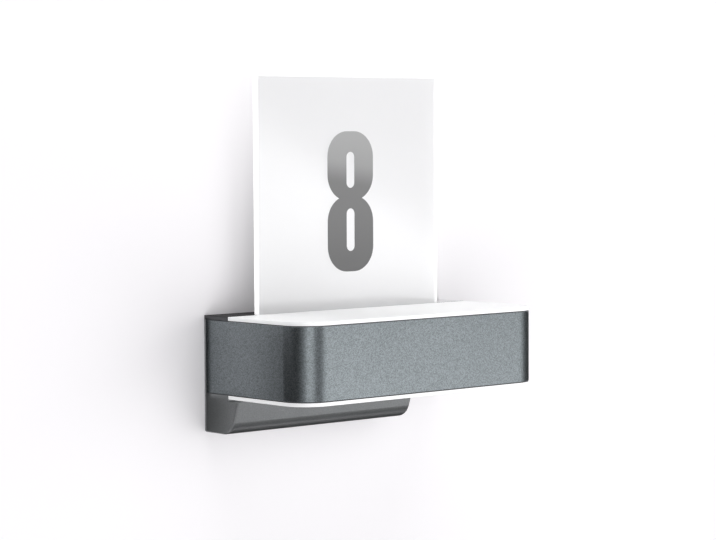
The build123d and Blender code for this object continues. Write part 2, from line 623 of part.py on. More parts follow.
# Chassis: the head's rear wall and a level shelf, with lugs for the band, towers for the diffusers'
# pegs and two tongues that reach into the housing, the right one notched for the lock screw
rim_inset = BAND_WALL + SLIDE_GAP
tower_radius = PEG_RADIUS + THREAD_GAP + TOWER_WALL
tower_x = half_width - rim_inset - RIM_WALL - tower_radius
tower_depths = (TOWER_BACK, inner_front - TOWER_FRONT_GAP)
tower_spots = [(x, -depth) for x in (-tower_x, tower_x) for depth in tower_depths]
tongue_back = chassis_back - TONGUE_REACH
with BuildPart() as chassis:
    block((-core_half, core_half), (chassis_back, chassis_front), (-band_top, band_top))
    plan_slab(rim_inset, chassis_back, -shelf_top, shelf_top)
    lug_top = shelf_top + BAND_LUG_HEIGHT
    lug_reach = BAND_LUG_WIDTH / 2
    for side in (-1, 1):
        edge = sorted((side * inner_half, side * (inner_half - BAND_LUG_THICK)))
        block(edge, (BAND_LUG_DEPTH - lug_reach, BAND_LUG_DEPTH + lug_reach), (-shelf_top, lug_top))
        middle = side * BAND_LUG_X
        front_lug = (inner_front - BAND_LUG_THICK, inner_front)
        block((middle - lug_reach, middle + lug_reach), front_lug, (-shelf_top, lug_top))
        across = side * tongue_middle
        tongue_x = (across - TONGUE_WIDTH / 2, across + TONGUE_WIDTH / 2)
        block(tongue_x, (tongue_back, chassis_back), (tongue_low, tongue_high))
    stud_hole = SCREW_RADIUS + JOINT_LINE
    rods(Plane.YZ.offset(-inner_half), side_studs, stud_hole, BAND_LUG_THICK, Mode.SUBTRACT)
    rods(Plane.YZ.offset(inner_half), side_studs, stud_hole, -BAND_LUG_THICK, Mode.SUBTRACT)
    rods(at_depth(inner_front), front_studs, stud_hole, -BAND_LUG_THICK, Mode.SUBTRACT)
    tower_foot = Plane.XY.offset(-TOWER_HEIGHT)
    rods(tower_foot, tower_spots, tower_radius, 2 * TOWER_HEIGHT)
    rods(tower_foot, tower_spots, PEG_RADIUS + THREAD_GAP, 2 * TOWER_HEIGHT, Mode.SUBTRACT)
    notch = LOCK_RADIUS + FIT_GAP
    notch_x = (tongue_middle - notch, tongue_middle + notch)
    block(notch_x, (tongue_back, LOCK_DEPTH), (tongue_low, tongue_high), Mode.SUBTRACT)
    rods(Plane.XY.offset(tongue_low), lock_spot, notch, TONGUE_THICK, Mode.SUBTRACT)
    pin_spots = [(x, PLUG_Z) for x in lead_x]
    rods(at_depth(chassis_back), pin_spots, PIN_RADIUS + FIT_GAP, CHASSIS_WALL, Mode.SUBTRACT)
    led_hole_x = led_width / 2 - BOARD_HOLE_INSET
    led_hole_y = led_length / 2 - BOARD_HOLE_INSET
    led_holes = [(x, y - led_middle) for x, y in corners(led_hole_x, led_hole_y)]
    rods(Plane.XY.offset(-shelf_top), led_holes, pilot, SHELF_THICK, Mode.SUBTRACT)
    link_depth = led_back + REFLECTOR_MARGIN / 2
    link_spots = [(x, -link_depth) for x in spread(LINK_PITCH, 2)]
    rods(Plane.XY.offset(-shelf_top), link_spots, LINK_RADIUS + FIT_GAP, SHELF_THICK, Mode.SUBTRACT)
save(chassis, "chassis")

with BuildPart() as band_nuts:
    side_face = inner_half - BAND_LUG_THICK
    front_face = inner_front - BAND_LUG_THICK
    for plane, spots, depth in (
        (Plane.YZ.offset(-side_face), side_studs, NUT_THICK),
        (Plane.YZ.offset(side_face), side_studs, -NUT_THICK),
        (at_depth(front_face), front_studs, -NUT_THICK),
    ):
        with BuildSketch(plane):
            with Locations(*spots):
                RegularPolygon(NUT_WIDTH / 2, 6, major_radius=False)
                Circle(SCREW_RADIUS + THREAD_GAP, mode=Mode.SUBTRACT)
        extrude(amount=depth)
save(band_nuts, "band_nuts")

# Lock screw from below through the housing and the tongue's notch, with its square nut
with BuildPart() as lock_screw:
    lock_tip = tongue_high + LOCK_NUT_THICK + 2 * FIT_GAP
    rods(facing_down(lock_seat), [(tongue_middle, LOCK_DEPTH)], LOCK_HEAD_RADIUS, LOCK_HEAD_HEIGHT)
    rods(Plane.XY.offset(lock_seat), lock_spot, LOCK_RADIUS, lock_tip - lock_seat)
    lock_slot = (2 * LOCK_HEAD_RADIUS, SCREW_SLOT)
    head_end = facing_down(lock_seat - LOCK_HEAD_HEIGHT)
    bars(head_end, [(tongue_middle, LOCK_DEPTH)], lock_slot, -SCREW_SLOT, Mode.SUBTRACT)
save(lock_screw, "lock_screw")

with BuildPart() as lock_nut:
    nut_low = tongue_high + FIT_GAP
    bars(Plane.XY.offset(nut_low), lock_spot, (LOCK_NUT_WIDTH, LOCK_NUT_WIDTH), LOCK_NUT_THICK)
    rods(Plane.XY.offset(nut_low), lock_spot, LOCK_RADIUS + THREAD_GAP, LOCK_NUT_THICK, Mode.SUBTRACT)
save(lock_nut, "lock_nut")

# Diffusers: opal plates flush with the band, with a locating rim inside it and four pegs
with BuildPart() as top_diffuser:
    plan_slab(0, diffuser_back, seat_top, body_top)
    fillet(top_diffuser.edges().group_by(Axis.Z)[-1], DIFFUSER_ROUND)
    rim_back = chassis_front + SLIDE_GAP
    plan_slab(rim_inset, rim_back, seat_top - RIM_HEIGHT, seat_top)
    plan_slab(rim_inset + RIM_WALL, rim_back + RIM_WALL, seat_top - RIM_HEIGHT, seat_top, Mode.SUBTRACT)
    rods(Plane.XY.offset(seat_top), tower_spots, PEG_RADIUS, -PEG_LENGTH)
save(top_diffuser, "top_diffuser")

with BuildPart() as bottom_diffuser:
    mirror(top_diffuser.part, about=Plane.XY)
save(bottom_diffuser, "bottom_diffuser")

# Light boards on both faces of the shelf, with their chips and screws
led_face = shelf_top + BOARD_THICK
led_centre = [(0, -led_middle)]
with BuildPart() as led_board_up:
    bars(Plane.XY.offset(shelf_top), led_centre, (led_width, led_length), BOARD_THICK)
    rods(Plane.XY.offset(shelf_top), led_holes, pilot, BOARD_THICK, Mode.SUBTRACT)
    rods(Plane.XY.offset(shelf_top), link_spots, LINK_RADIUS + THREAD_GAP, BOARD_THICK, Mode.SUBTRACT)
save(led_board_up, "led_board_up")

with BuildPart() as leds_up:
    columns = spread((foot_width - 2 * LED_SIDE_INSET) / (LED_COLUMNS - 1), LED_COLUMNS)
    rows = spread((foot_length - 2 * LED_END_INSET) / (LED_ROWS - 1), LED_ROWS)
    led_spots = [(x, y - led_middle) for x in columns for y in rows]
    bars(Plane.XY.offset(led_face), led_spots, (LED_SIZE, LED_SIZE), LED_HEIGHT)
save(leds_up, "leds_up")

with BuildPart() as led_board_screws:
    shank = BOARD_THICK + shelf_top - THREAD_GAP
    screws(Plane.XY.offset(led_face), led_holes, BOARD_SCREW_RADIUS, BOARD_SCREW_HEAD, shank)
    mirror(about=Plane.XY)
save(led_board_screws, "led_board_screws")

# White reflector trays that widen from each board to its diffuser
with BuildPart() as reflector_up:
    mouth_size = (led_width + 2 * REFLECTOR_SIDE_FLARE, led_length + 2 * REFLECTOR_END_FLARE)
    for skin, mode in ((2 * REFLECTOR_WALL, Mode.ADD), (0, Mode.SUBTRACT)):
        with BuildSketch(Plane.XY.offset(led_face)):
            with Locations(*led_centre):
                RectangleRounded(foot_width + skin, foot_length + skin, REFLECTOR_WALL)
        with BuildSketch(Plane.XY.offset(led_face + REFLECTOR_HEIGHT)):
            with Locations(*led_centre):
                RectangleRounded(mouth_size[0] + skin, mouth_size[1] + skin, REFLECTOR_CORNER)
        loft(ruled=True, mode=mode)
save(reflector_up, "reflector_up")

upper_pieces = {"led_board_down": led_board_up, "leds_down": leds_up, "reflector_down": reflector_up}
for name, upper in upper_pieces.items():
    with BuildPart() as lower:
        mirror(upper.part, about=Plane.XY)
    save(lower, name)

# Supply connector: a socket in the housing's front wall and a plug on the chassis
with BuildPart() as supply_socket:
    block(plug_x, (housing_front - SOCKET_DEPTH, housing_front), plug_z)
    flange_x = (plug_x[0] - SOCKET_FLANGE, plug_x[1] + SOCKET_FLANGE)
    flange_z = (plug_z[0] - SOCKET_FLANGE, plug_z[1] + SOCKET_FLANGE)
    block(flange_x, (housing_inner - SOCKET_FLANGE, housing_inner), flange_z)
    pin_room = PIN_REACH + FIT_GAP
    rods(at_depth(housing_front), pin_spots, PIN_RADIUS + FIT_GAP, -pin_room, Mode.SUBTRACT)
save(supply_socket, "supply_socket")

with BuildPart() as supply_plug:
    block(plug_x, (chassis_front, chassis_front + PLUG_DEPTH), plug_z)
    pin_end = housing_front - PIN_REACH
    rods(at_depth(chassis_front), pin_spots, PIN_RADIUS, pin_end - chassis_front)
save(supply_plug, "supply_plug")

# Wires inside the housing: mains to the driver, driver to the socket, and a ribbon to the sensor
terminal_top = TERMINAL_Z + TERMINAL_HEIGHT / 2
driver_top = DRIVER_Z + DRIVER_HEIGHT / 2
driver_end = driver_top - DRIVER_TERMINAL_HEIGHT
with BuildPart() as driver_terminal:
    socket_x = (DRIVER_TERMINAL_X - DRIVER_TERMINAL_WIDTH / 2, DRIVER_TERMINAL_X + DRIVER_TERMINAL_WIDTH / 2)
    block(socket_x, (board_face, board_face + DRIVER_TERMINAL_DEPTH), (driver_end, driver_top))
    wire_holes = [(x, -wire_depth) for x in lead_x]
    wire_hole = WIRE_RADIUS + JOINT_LINE
    rods(Plane.XY.offset(driver_end), wire_holes, wire_hole, DRIVER_TERMINAL_HEIGHT, Mode.SUBTRACT)
save(driver_terminal, "driver_terminal")

with BuildPart() as mains_leads:
    routes = []
    for number, (pole, end) in enumerate(zip(reversed(poles[:2]), lead_x)):
        run = driver_top + WIRE_RUN * (number + 1)
        heights = (terminal_top - WIRE_SEAT, run, run, driver_top - WIRE_SEAT)
        routes.append([(x, -wire_depth, z) for x, z in zip((pole, pole, end, end), heights)])
    leads(routes)
save(mains_leads, "mains_leads")

with BuildPart() as socket_leads:
    socket_back = housing_front - SOCKET_DEPTH
    leads(
        [(x, -wire_depth, driver_end + WIRE_SEAT), (x, -wire_depth, PLUG_Z), (x, -socket_back, PLUG_Z)]
        for x in lead_x
    )
save(socket_leads, "socket_leads")

with BuildPart() as sensor_lead:
    ribbon_low = sensor_z + SENSOR_BOARD_HEIGHT / 2 - HEADER_HEIGHT
    ribbon_high = DRIVER_Z - DRIVER_HEIGHT / 2 + HEADER_HEIGHT
    block(ribbon_x, (board_face + FIT_GAP, board_face + FIT_GAP + RIBBON_THICK), (ribbon_low, ribbon_high))
    for header in (ribbon_low, ribbon_high - HEADER_HEIGHT):
        block(ribbon_x, (board_face, board_face + HEADER_HEIGHT), (header, header + HEADER_HEIGHT))
save(sensor_lead, "sensor_lead")

# Wires inside the head: plug to the lower board, and links through the shelf to the upper board
with BuildPart() as led_leads:
    plug_face = chassis_front + PLUG_DEPTH
    lead_turn = led_back + REFLECTOR_MARGIN / 2
    leads(
        [(x, -plug_face, PLUG_Z), (x, -lead_turn, PLUG_Z), (x, -lead_turn, -led_face)]
        for x in lead_x
    )
save(led_leads, "led_leads")

with BuildPart() as board_links:
    rods(Plane.XY.offset(-led_face - LED_HEIGHT), link_spots, LINK_RADIUS, 2 * (led_face + LED_HEIGHT))
save(board_links, "board_links")

# Number panel and the film numeral on its front face
with BuildPart() as number_panel:
    panel_back = PANEL_FACE - PANEL_THICK
    panel_top = panel_foot + PANEL_HEIGHT
    block((-PANEL_WIDTH / 2, PANEL_WIDTH / 2), (panel_back, PANEL_FACE), (panel_foot, panel_top))
    chamfer(number_panel.edges(), PANEL_CHAMFER)
save(number_panel, "number_panel")

with BuildPart() as house_number:
    numeral_foot = body_top + NUMERAL_LIFT
    lower_counter = numeral_foot + NUMERAL_BAR + COUNTER_LOWER / 2
    upper_counter = lower_counter + COUNTER_LOWER / 2 + NUMERAL_BAR + COUNTER_UPPER / 2
    lower_lobe = 1.5 * NUMERAL_BAR + COUNTER_LOWER + LOBE_OVERLAP / 2
    upper_lobe = 1.5 * NUMERAL_BAR + COUNTER_UPPER + LOBE_OVERLAP / 2
    numeral_top = upper_counter + COUNTER_UPPER / 2 + NUMERAL_BAR
    with BuildSketch(at_depth(PANEL_FACE)):
        with Locations((0, numeral_foot + lower_lobe / 2)):
            RectangleRounded(NUMERAL_WIDTH, lower_lobe, NUMERAL_CORNER)
        with Locations((0, numeral_top - upper_lobe / 2)):
            RectangleRounded(NUMERAL_WIDTH, upper_lobe, NUMERAL_CORNER)
        with Locations((0, lower_counter)):
            SlotOverall(COUNTER_LOWER, COUNTER_WIDTH, rotation=90, mode=Mode.SUBTRACT)
        with Locations((0, upper_counter)):
            SlotOverall(COUNTER_UPPER, COUNTER_WIDTH, rotation=90, mode=Mode.SUBTRACT)
    extrude(amount=FILM_THICK)
save(house_number, "house_number")
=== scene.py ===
# %% [markdown]
# # A house number light on a white wall
#
# The light is an anthracite band between two opal plates. A satin panel with a film numeral stands in a
# slot behind the upper plate, and a lower base hides the sensor. Its solids come from the CAD part, in
# metres: X runs right along the wall, Y into the wall and Z up. This lesson leaves those shapes as they
# are. It sets up the wall, the lamps and the camera, and then gives each piece its finish.

# %% Load the light
import json
import math

import bmesh
import bpy
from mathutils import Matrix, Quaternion, Vector


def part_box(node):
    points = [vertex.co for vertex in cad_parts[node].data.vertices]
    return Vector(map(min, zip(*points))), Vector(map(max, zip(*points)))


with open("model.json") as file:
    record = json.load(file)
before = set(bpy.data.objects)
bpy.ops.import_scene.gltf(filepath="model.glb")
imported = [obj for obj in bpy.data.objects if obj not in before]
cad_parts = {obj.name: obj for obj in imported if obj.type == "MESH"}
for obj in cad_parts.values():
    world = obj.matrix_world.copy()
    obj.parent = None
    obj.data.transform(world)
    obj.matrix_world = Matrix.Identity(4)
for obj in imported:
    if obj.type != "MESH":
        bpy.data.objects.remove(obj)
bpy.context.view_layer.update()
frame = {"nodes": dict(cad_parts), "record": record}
light = frame["nodes"]

# %% [markdown]
# ## Shader maths as Python
#
# A finish is a material whose colour and roughness change over the surface. Dozens of Math nodes wired
# by hand are hard to read, so one small class wraps a socket and lets Python's own operators add them.
# Every other node comes from `Finish.node`, which takes its type, its settings and its sockets. Sizes in
# a finish are in millimetres, while the places of the stage are in metres.


# %% A socket that takes part in sums
class Amount:
    """One value in a finish's node tree."""

    def __init__(self, finish, socket):
        self.finish = finish
        self.socket = socket

    def math(self, operation, first, second=0.0):
        return self.finish.node("ShaderNodeMath", {"operation": operation}, {0: first, 1: second})

    def __add__(self, other):
        return self.math("ADD", self, other)

    def __radd__(self, other):
        return self.math("ADD", other, self)

    def __sub__(self, other):
        return self.math("SUBTRACT", self, other)

    def __rsub__(self, other):
        return self.math("SUBTRACT", other, self)

    def __mul__(self, other):
        return self.math("MULTIPLY", self, other)

    def __rmul__(self, other):
        return self.math("MULTIPLY", other, self)

    def __truediv__(self, other):
        return self.math("DIVIDE", self, other)

    def __rtruediv__(self, other):
        return self.math("DIVIDE", other, self)

    def __pow__(self, other):
        return self.math("POWER", self, other)

    def __rpow__(self, other):
        return self.math("POWER", other, self)

    def __abs__(self):
        return self.math("ABSOLUTE", self)

    def __lt__(self, other):
        return self.math("LESS_THAN", self, other)

    def __gt__(self, other):
        return self.math("GREATER_THAN", self, other)

    def larger(self, other):
        """The larger of two values, which joins two masks."""
        return self.math("MAXIMUM", self, other)

    def turn_from(self, ahead):
        """The angle between straight ahead and a place that lies this far to the side."""
        return self.math("ARCTAN2", self, ahead)

    def repeat(self, step):
        """The distance to the nearest multiple of a step."""
        return self.math("PINGPONG", self, step / 2)


print("operators:", [name for name in vars(Amount) if name.startswith("__") and name != "__init__"])

# %% A finish and its nodes
MM = 1000.0  # millimetres in a metre
NOISE_ROUGHNESS = 0.55
finishes = {}


class Finish:
    """A material with a Principled shader, in the words of the light's own surfaces."""

    def __init__(self, name, constants):
        self.material = bpy.data.materials.new(name)
        self.material.use_nodes = True
        self.tree = self.material.node_tree
        self.shader = self.tree.nodes["Principled BSDF"]
        self.shade(constants)
        self.place = self.node("ShaderNodeTexCoord", output="Object")
        finishes[name] = self

    def node(self, kind, settings=None, sockets=None, output=0):
        made = self.tree.nodes.new(kind)
        for name, value in (settings or {}).items():
            setattr(made, name, value)
        for name, value in (sockets or {}).items():
            if isinstance(value, Amount):
                self.tree.links.new(value.socket, made.inputs[name])
            else:
                made.inputs[name].default_value = value
        return Amount(self, made.outputs[output])

    def shade(self, sockets):
        for name, value in sockets.items():
            if isinstance(value, Amount):
                self.tree.links.new(value.socket, self.shader.inputs[name])
            elif isinstance(value, tuple):
                self.shader.inputs[name].default_value = (*value, 1)
            else:
                self.shader.inputs[name].default_value = value

    def along(self, axis):
        """The place on the light in millimetres: X is across, Y into the wall and Z up."""
        return self.node("ShaderNodeSeparateXYZ", None, {"Vector": self.place}, axis) * MM

    def cloud(self, size, detail=2.0, stretch=(1, 1, 1)):
        """Soft noise from 0 to 1 with patches of a size in millimetres."""
        spot = self.node("ShaderNodeVectorMath", {"operation": "MULTIPLY"}, {0: self.place, 1: stretch})
        sockets = {"Vector": spot, "Scale": MM / size, "Detail": detail, "Roughness": NOISE_ROUGHNESS}
        return self.node("ShaderNodeTexNoise", None, sockets, "Fac")

    def cells(self, size, output="Color"):
        """Grains of a size in millimetres: a shade for each, or the distance from its middle."""
        sockets = {"Vector": self.place, "Scale": MM / size}
        return self.node("ShaderNodeTexVoronoi", None, sockets, output)

    def rise(self, value, low, high):
        """A smooth step from 0 to 1 between two limits."""
        sockets = {"Value": value, "From Min": low, "From Max": high}
        return self.node("ShaderNodeMapRange", {"interpolation_type": "SMOOTHSTEP"}, sockets)

    def tint(self, share, first, second):
        """A colour between two others, either of which may be a link."""
        pair = [colour if isinstance(colour, Amount) else (*colour, 1) for colour in (first, second)]
        return self.node("ShaderNodeMix", {"data_type": "RGBA"}, {0: share, 6: pair[0], 7: pair[1]}, 2)

    def relief(self, height, depth, strength):
        """Bumps that are a depth in millimetres high."""
        sockets = {"Height": height, "Distance": depth / MM, "Strength": strength}
        return self.node("ShaderNodeBump", None, sockets)


def grey(level):
    return (level, level, level)


print("finish methods:", [name for name in vars(Finish) if not name.startswith("__")])

# %% [markdown]
# ## The wall
#
# The light hangs on a wall, so the stage is one swept sheet: wall, cove and floor, painted white. Seen
# from behind or below it lets the view through, so that the rear and the underside can be looked at. The
# lamps bring the plain paint to white, so nothing but the light's own soft shade falls on it.

# %% Wall, cove and floor
STAGE_HALF = 2.6
WALL_BEHIND = 0.0006
WALL_TOP = 2.2
FLOOR_LEVEL = -1.3
FLOOR_FRONT = -3.0
COVE = 0.22
COVE_STEPS = 16


def sweep_stage():
    outline = [(WALL_BEHIND, WALL_TOP), (WALL_BEHIND, FLOOR_LEVEL + COVE)]
    for step in range(1, COVE_STEPS + 1):
        turn = math.radians(90 * step / COVE_STEPS)
        outline.append(
            (WALL_BEHIND - COVE * (1 - math.cos(turn)), FLOOR_LEVEL + COVE * (1 - math.sin(turn)))
        )
    outline.append((FLOOR_FRONT, FLOOR_LEVEL))
    mesh = bmesh.new()
    rows = [[mesh.verts.new((x, y, z)) for y, z in outline] for x in (-STAGE_HALF, STAGE_HALF)]
    for left_low, right_low, right_high, left_high in zip(rows[0][1:], rows[1][1:], rows[1], rows[0]):
        mesh.faces.new((left_low, right_low, right_high, left_high)).smooth = True
    data = bpy.data.meshes.new("stage_wall")
    mesh.to_mesh(data)
    mesh.free()
    wall = bpy.data.objects.new("stage_wall", data)
    bpy.context.scene.collection.objects.link(wall)
    return wall


stage_wall = sweep_stage()
stage_wall.visible_shadow = False
stage_wall.visible_diffuse = False
print("stage faces:", len(stage_wall.data.polygons), "normal:", stage_wall.data.polygons[0].normal[:])

# %% Wall paint
WALL_WHITE = (0.98, 0.962, 0.98)

wall_paint = Finish("wall_paint", {"Base Color": WALL_WHITE, "Roughness": 0.9, "Specular IOR Level": 0.1})
lit = Amount(wall_paint, wall_paint.shader.outputs["BSDF"])
behind = wall_paint.node("ShaderNodeNewGeometry", output="Backfacing")
clear = wall_paint.node("ShaderNodeBsdfTransparent")
front = wall_paint.node("ShaderNodeMixShader", None, {0: behind, 1: lit, 2: clear})
wall_paint.tree.links.new(front.socket, wall_paint.tree.nodes["Material Output"].inputs["Surface"])
stage_wall.data.materials.append(wall_paint.material)
print("wall paint nodes:", len(wall_paint.tree.nodes))

# %% [markdown]
# ## Lamps
#
# Two kinds of lamp share the work. Wash lamps give the even light and stay out of reflections: a broad one
# from the right, a smaller one from the left that throws the soft shade on the wall's right side, and one
# from behind for views of the rear. Soft boxes make the reflections and leave the even light alone: the
# front of the band mirrors the one at the right of the camera, and its round corner sweeps over the one at
# the left. Their brightness then sets the metal's tone without bleaching the panel. One box hangs above and
# does both, for the upper plate.

# %% Wash lamps and soft boxes
AIM = Vector((0.0, -0.05, 0.02))


def lamp_at(name, spot, size, radiance, roll=0.0):
    """A flat lamp at a spot that looks at the light, with the same brightness all over its face."""
    lamp = bpy.data.lights.new(name, "AREA")
    lamp.shape = "RECTANGLE"
    lamp.size, lamp.size_y = size
    lamp.energy = radiance * math.pi * size[0] * size[1]
    box = bpy.data.objects.new(name, lamp)
    box.location = spot
    box.rotation_mode = "QUATERNION"
    turn = (AIM - Vector(spot)).to_track_quat("-Z", "Y")
    box.rotation_quaternion = turn @ Quaternion((0, 0, 1), math.radians(roll))
    box.visible_camera = False
    bpy.context.scene.collection.objects.link(box)
    return box


for wash in (
    lamp_at("broad_wash", spot=(2.115, -2.075, -0.538), size=(5.5, 4.23), radiance=1.37),
    lamp_at("left_wash", spot=(-1.25, -2.1, -0.72), size=(2.0, 2.0), radiance=2.08),
    lamp_at("rear_wash", spot=(-0.7, 1.6, 0.7), size=(1.2, 1.2), radiance=5.0),
):
    wash.visible_glossy = False
for box in (
    lamp_at("front_box", spot=(1.31, -1.565, -0.533), size=(1.25, 1.1), radiance=2.3, roll=-34.0),
    lamp_at("corner_box", spot=(-0.98, -1.78, 0.1), size=(1.1, 1.4), radiance=1.7),
):
    box.visible_diffuse = False
lamp_at("top_box", spot=(0.1, -0.75, 1.5), size=(1.6, 1.0), radiance=1.85)

# %% [markdown]
# ## Flags and cards
#
# A studio hangs black cloth, called flags, where a shiny piece would mirror something too bright. The band
# and the base would mirror the white wall beside them, so flags cover it on both sides and below, and one
# lies over the floor. Only reflections see them: for the camera, the shadows and the soft light they
# aren't there. A grey card gives the base's left side a milder dark, and a narrow line of black darkens
# the seam beside the wall.
#
# One card works the other way round. The real panel shades the wall a little near its foot, and a
# frosted panel that throws its full shadow here shades it far too much. So the panel throws none, and a
# half-clear card behind it throws a shade that fades upwards and to the right.

# %% Cards and black cloth
CLOTH = {"Roughness": 1.0, "Specular IOR Level": 0.0}
CLOTH_WEAVE = 4.0


def upright(start, end, foot, head):
    """The corners of a card that stands over the line between two places on the plan."""
    return [(*start, foot), (*end, foot), (*end, head), (*start, head)]


def lying(sides, depths, level):
    """The corners of a card that lies level."""
    (left, right), (front, rear) = sides, depths
    return [(left, front, level), (right, front, level), (right, rear, level), (left, rear, level)]


def put_card(name, corners, cloth):
    """A card that only reflections see."""
    data = bpy.data.meshes.new(name)
    data.from_pydata(corners, [], [range(len(corners))])
    card = bpy.data.objects.new(name, data)
    bpy.context.scene.collection.objects.link(card)
    data.materials.append(cloth.material)
    card.visible_camera = card.visible_diffuse = card.visible_shadow = card.visible_transmission = False
    return card


flag_cloth = Finish("flag_cloth", CLOTH)
flag_cloth.shade({"Base Color": flag_cloth.tint(flag_cloth.cloud(CLOTH_WEAVE), grey(0.004), grey(0.01))})
print("flag cloth nodes:", len(flag_cloth.tree.nodes))

# %% Black flags
BAND_SIDE, BAND_TOP = [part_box("front_band")[1][axis] for axis in (0, 2)]
BASE_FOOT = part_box("base_cover")[0][2]
OFF_WALL = -0.004
LEFT_NEAR = (-BAND_SIDE - 0.061, OFF_WALL)
LEFT_FAR = (-1.2, OFF_WALL)
LEFT_END = (-1.35, -0.75)
RIGHT_NEAR = (BAND_SIDE + 0.002, OFF_WALL)
RIGHT_FAR = (1.6, OFF_WALL)
RIGHT_END = (1.7, -0.85)
UNDER_LEFT = (0.003 - BAND_SIDE, OFF_WALL)
FLAG_FOOT = -0.8
RIGHT_FLAG_FOOT = -0.3
FLAG_HEAD = BAND_TOP + 0.0003
END_FLAG_HEAD = 0.5
UNDER_FLAG_HEAD = BASE_FOOT - 0.0062
FLOOR_FLAG_SIDES = (-0.5, 2.2)
FLOOR_FLAG_DEPTHS = (-1.5, -0.1)
FLOOR_FLAG_LEVEL = -1.12

put_card("left_flag", upright(LEFT_NEAR, LEFT_FAR, FLAG_FOOT, FLAG_HEAD), flag_cloth)
put_card("left_end_flag", upright(LEFT_FAR, LEFT_END, FLAG_FOOT, END_FLAG_HEAD), flag_cloth)
put_card("right_flag", upright(RIGHT_NEAR, RIGHT_FAR, RIGHT_FLAG_FOOT, FLAG_HEAD), flag_cloth)
put_card("right_end_flag", upright(RIGHT_FAR, RIGHT_END, FLAG_FOOT, END_FLAG_HEAD), flag_cloth)
put_card("under_flag", upright(UNDER_LEFT, RIGHT_NEAR, FLAG_FOOT, UNDER_FLAG_HEAD), flag_cloth)
put_card("floor_flag", lying(FLOOR_FLAG_SIDES, FLOOR_FLAG_DEPTHS, FLOOR_FLAG_LEVEL), flag_cloth)

# %% Grey side card
CAP_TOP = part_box("rear_housing")[1][2]
SIDE_OFF_WALL = -0.002
SIDE_FAR, SIDE_NEAR = (-BAND_SIDE - 0.037, SIDE_OFF_WALL), (-BAND_SIDE - 0.001, SIDE_OFF_WALL)
SIDE_FOOT, SIDE_HEAD = -0.12, -CAP_TOP - 0.0002
SIDE_FADE = (-MM * BAND_SIDE - 35.0, -MM * BAND_SIDE - 2.0)
WEAVE_SHARE = 0.05

side_cloth = Finish("side_cloth", CLOTH)
side_fade = side_cloth.rise(side_cloth.along("X"), *SIDE_FADE)
side_share = side_fade + WEAVE_SHARE * side_cloth.cloud(CLOTH_WEAVE)
side_cloth.shade({"Base Color": side_cloth.tint(side_share, grey(0.5), grey(0.2))})
put_card("side_card", upright(SIDE_FAR, SIDE_NEAR, SIDE_FOOT, SIDE_HEAD), side_cloth)
print("side card from", SIDE_FAR[0], "to", SIDE_NEAR[0])

# %% Half-clear card behind the panel's foot
panel_low, panel_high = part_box("number_panel")
FOOT_BEHIND = panel_high[1] + 0.0005
FOOT_LEFT, FOOT_RIGHT = (panel_low[0] + 0.003, FOOT_BEHIND), (0.04, FOOT_BEHIND)
FOOT_LOW, FOOT_HIGH = CAP_TOP + 0.0002, panel_high[2] - 0.0068
FADE_ACROSS, FADE_UP = (-70.0, 35.0), (60.0, 195.0)
FOOT_DENSITY, FOOT_FALL = 0.62, 0.5

foot_cloth = Finish("foot_cloth", {"Base Color": grey(0.01), **CLOTH})
fade = 1 - foot_cloth.rise(foot_cloth.along("X"), *FADE_ACROSS)
thinning = FOOT_FALL * foot_cloth.rise(foot_cloth.along("Z"), *FADE_UP)
foot_cloth.shade({"Alpha": fade * (FOOT_DENSITY - thinning)})
foot_card = put_card("foot_card", upright(FOOT_LEFT, FOOT_RIGHT, FOOT_LOW, FOOT_HIGH), foot_cloth)
foot_card.visible_shadow = foot_card.visible_diffuse = True
foot_card.visible_glossy = False
print("foot card from", FOOT_LOW, "to", FOOT_HIGH)

# %% Dark line along the wall
LINE_OFF_WALL = -0.001
LINE_LEFT, LINE_RIGHT = (-BAND_SIDE - 0.004, LINE_OFF_WALL), (-BAND_SIDE - 0.0003, LINE_OFF_WALL)
LINE_HEAD = BAND_TOP + 0.0013

put_card("wall_line", upright(LINE_LEFT, LINE_RIGHT, UNDER_FLAG_HEAD, LINE_HEAD), flag_cloth)
print("wall line:", LINE_LEFT[0], LINE_RIGHT[0])

# %% [markdown]
# ## World light
#
# A dim, nearly white world fills what the lamps leave in the dark. The Standard view shows a colour about
# as it is written, so each tone can be set where its finish is made.

# %% World light
WORLD_COLOUR, WORLD_STRENGTH = (0.97, 0.97, 1.0), 0.25

world = bpy.data.worlds.new("studio")
world.use_nodes = True
bpy.context.scene.world = world
sky = world.node_tree.nodes["Background"]
sky.inputs["Color"].default_value = (*WORLD_COLOUR, 1)
sky.inputs["Strength"].default_value = WORLD_STRENGTH
bpy.context.scene.view_settings.view_transform = "Standard"
print("world strength:", WORLD_STRENGTH)

# %% [markdown]
# ## Camera
#
# The view stands left of the light and a little above it. The lens and the place come from matching the
# edges of the band, the plates and the panel to the picture, so the outlines fall within about two pixels.

# %% Camera
CAMERA_SPOT = (-1.20361, -1.36665, 0.15769)
CAMERA_YAW = 42.0848
CAMERA_PITCH = 3.2037
CAMERA_ROLL = 0.2378
CAMERA_LENS = 125.144
SENSOR_WIDTH = 36.0

view = bpy.data.cameras.new("view")
view.lens = CAMERA_LENS
view.sensor_width = SENSOR_WIDTH
camera = bpy.data.objects.new("view", view)
camera.location = CAMERA_SPOT
camera.rotation_euler = (math.radians(90 - CAMERA_PITCH), 0, math.radians(-CAMERA_YAW))
camera.rotation_euler.rotate_axis("Z", math.radians(-CAMERA_ROLL))
bpy.context.scene.collection.objects.link(camera)
bpy.context.scene.camera = camera
print("camera:", camera.location[:], camera.rotation_euler[:])

